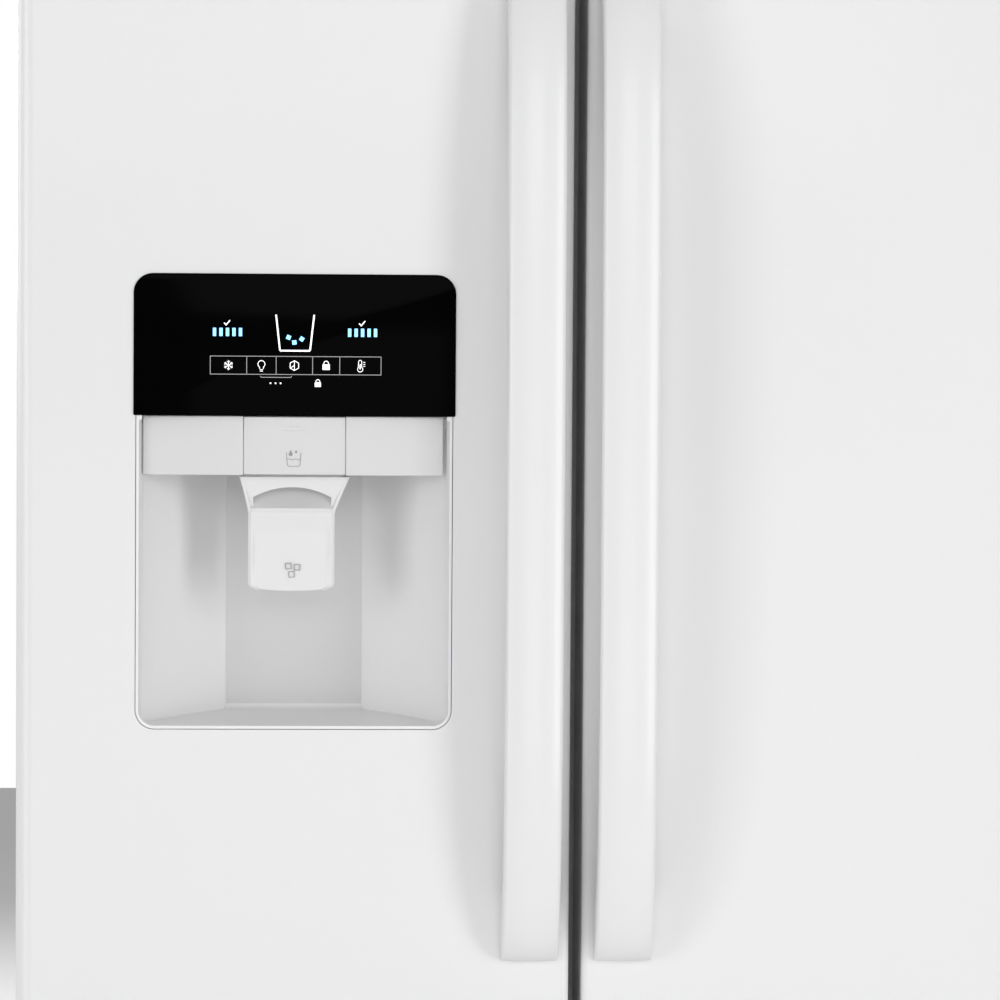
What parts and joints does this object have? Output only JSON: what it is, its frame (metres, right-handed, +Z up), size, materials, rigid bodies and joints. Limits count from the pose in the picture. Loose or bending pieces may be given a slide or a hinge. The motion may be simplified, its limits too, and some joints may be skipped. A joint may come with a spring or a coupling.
{
  "type": "side by side refrigerator",
  "caption": "Side-by-side refrigerator with two hinged doors, bar handles, an ice and water dispenser, shelves, drawers, ice maker and a machine bay.",
  "frame": {"origin": "middle of the base, on the floor", "axes": "+Z up, the doors face -Y, +X to the right seen from the front"},
  "size_m": [0.911, 0.876, 1.75],
  "materials": {
    "white_enamel": "gloss",
    "zinc_steel": "satin",
    "white_plastic": "satin",
    "liner_plastic": "satin",
    "black_panel": "gloss",
    "insulation_foam": "matte",
    "clear_plastic": "gloss",
    "shelf_glass": "gloss",
    "gasket_rubber": "matte",
    "black_enamel": "satin",
    "dark_plastic": "matte",
    "bare_aluminium": "satin",
    "bright_wire": "polished",
    "white_wire": "satin",
    "lamp_lens": "satin",
    "cap_plastic": "satin"
  },
  "bodies": {
    "cabinet": {"case_shell": "white_enamel", "case_back": "zinc_steel", "case_foam": "insulation_foam", "freezer_liner": "liner_plastic", "fridge_liner": "liner_plastic", "base_frame": "zinc_steel", "toe_grille": "white_plastic", "hinge_brackets": "zinc_steel", "drawer_rails": "liner_plastic", "hinge_covers": "white_plastic", "compressor": "black_enamel", "condenser": "black_enamel", "condenser_shroud": "dark_plastic", "drain_pan": "dark_plastic", "machine_cover": "zinc_steel", "water_valve": "white_plastic", "cord_gland": "dark_plastic", "evaporator": "bare_aluminium", "evaporator_cover": "liner_plastic", "shelf_ladders": "zinc_steel", "shelf_glass": "shelf_glass", "shelf_frames": "liner_plastic", "freezer_shelves": "white_wire", "ice_maker": "liner_plastic", "ice_bin": "liner_plastic", "interior_lamps": "lamp_lens", "filter_housing": "cap_plastic"},
    "freezer_door": {"freezer_door_skin": "white_enamel", "freezer_door_liner": "liner_plastic", "freezer_door_foam": "insulation_foam", "freezer_door_caps": "cap_plastic", "freezer_gasket": "gasket_rubber", "freezer_handle": "white_enamel", "freezer_bins": "clear_plastic", "dispenser_panel": "black_panel", "dispenser_housing": "white_plastic", "dispenser_fascia": "white_plastic", "ice_chute": "cap_plastic"},
    "fridge_door": {"fridge_door_skin": "white_enamel", "fridge_door_liner": "liner_plastic", "fridge_door_foam": "insulation_foam", "fridge_door_caps": "cap_plastic", "fridge_gasket": "gasket_rubber", "fridge_handle": "white_enamel", "fridge_bins": "clear_plastic"},
    "rollers": {"rear_rollers": "dark_plastic"},
    "left_leg": {"leveling_leg_left": "zinc_steel"},
    "right_leg": {"leveling_leg_right": "zinc_steel"},
    "condenser_fan": {"condenser_fan": "dark_plastic"},
    "evaporator_fan": {"evaporator_fan": "white_plastic"},
    "ice_auger": {"ice_auger": "bright_wire"},
    "ice_bail_arm": {"ice_bail_arm": "bright_wire"},
    "upper_crisper": {"upper_crisper": "clear_plastic"},
    "lower_crisper": {"lower_crisper": "clear_plastic"},
    "freezer_basket": {"freezer_basket": "clear_plastic"},
    "water_filter": {"water_filter": "white_plastic"},
    "ice_paddle": {"ice_paddle": "white_plastic"},
    "water_pad": {"water_pad": "white_plastic"},
    "chute_flap": {"chute_flap": "dark_plastic"},
    "dairy_lid": {"dairy_lid": "clear_plastic"}
  },
  "joints": [
    {"name": "freezer_door_hinge", "type": "hinge", "parent": "cabinet", "child": "freezer_door", "pos_m": [-0.4355, -0.347, 0.9], "axis": [0, 0, -1], "range_deg": [0, 125]},
    {"name": "fridge_door_hinge", "type": "hinge", "parent": "cabinet", "child": "fridge_door", "pos_m": [0.4355, -0.347, 0.9], "axis": [0, 0, 1], "range_deg": [0, 125]},
    {"name": "ice_paddle_press", "type": "hinge", "parent": "freezer_door", "child": "ice_paddle", "pos_m": [-0.2567, -0.353, 1.154], "axis": [1, 0, 0], "range_deg": [0, 8], "stiffness_Nm_per_rad": 0.8, "springref_deg": -6.88},
    {"name": "water_pad_press", "type": "hinge", "parent": "freezer_door", "child": "water_pad", "pos_m": [-0.2567, -0.374, 1.184], "axis": [1, 0, 0], "range_deg": [0, 5], "stiffness_Nm_per_rad": 0.4, "springref_deg": -5.73},
    {"name": "chute_flap_hinge", "type": "hinge", "parent": "freezer_door", "child": "chute_flap", "pos_m": [-0.2567, -0.3, 1.187], "axis": [1, 0, 0], "range_deg": [0, 28]},
    {"name": "dairy_lid_hinge", "type": "hinge", "parent": "fridge_door", "child": "dairy_lid", "pos_m": [0.1985, -0.222, 1.582], "axis": [1, 0, 0], "range_deg": [0, 85]},
    {"name": "roller_spin", "type": "hinge", "parent": "cabinet", "child": "rollers", "pos_m": [0, 0.33, 0.022], "axis": [1, 0, 0], "continuous": true},
    {"name": "left_leg_screw", "type": "hinge", "parent": "cabinet", "child": "left_leg", "pos_m": [-0.425, -0.235, 0.03], "axis": [0, 0, 1], "continuous": true},
    {"name": "right_leg_screw", "type": "hinge", "parent": "cabinet", "child": "right_leg", "pos_m": [0.425, -0.235, 0.03], "axis": [0, 0, 1], "continuous": true},
    {"name": "condenser_fan_spin", "type": "hinge", "parent": "cabinet", "child": "condenser_fan", "pos_m": [-0.08, 0.318, 0.18], "axis": [1, 0, 0], "continuous": true},
    {"name": "evaporator_fan_spin", "type": "hinge", "parent": "cabinet", "child": "evaporator_fan", "pos_m": [-0.24518, 0.334, 1.05], "axis": [0, 1, 0], "continuous": true},
    {"name": "auger_spin", "type": "hinge", "parent": "cabinet", "child": "ice_auger", "pos_m": [-0.2567, 0.06, 1.392], "axis": [0, 1, 0], "continuous": true},
    {"name": "bail_arm_lift", "type": "hinge", "parent": "cabinet", "child": "ice_bail_arm", "pos_m": [-0.15, 0.04, 1.59], "axis": [1, 0, 0], "range_deg": [0, 25]},
    {"name": "upper_crisper_slide", "type": "slide", "parent": "cabinet", "child": "upper_crisper", "axis": [0, -1, 0], "range_m": [0, 0.1]},
    {"name": "lower_crisper_slide", "type": "slide", "parent": "cabinet", "child": "lower_crisper", "axis": [0, -1, 0], "range_m": [0, 0.1]},
    {"name": "freezer_basket_slide", "type": "slide", "parent": "cabinet", "child": "freezer_basket", "axis": [0, -1, 0], "range_m": [0, 0.1]},
    {"name": "filter_turn", "type": "hinge", "parent": "cabinet", "child": "water_filter", "pos_m": [-0.3, -0.25, 0.041], "axis": [0, 1, 0], "range_deg": [0, 90]}
  ],
  "couplings": [
    {"joint": "chute_flap_hinge", "follows": "ice_paddle_press", "ratio": 3.5}
  ]
}
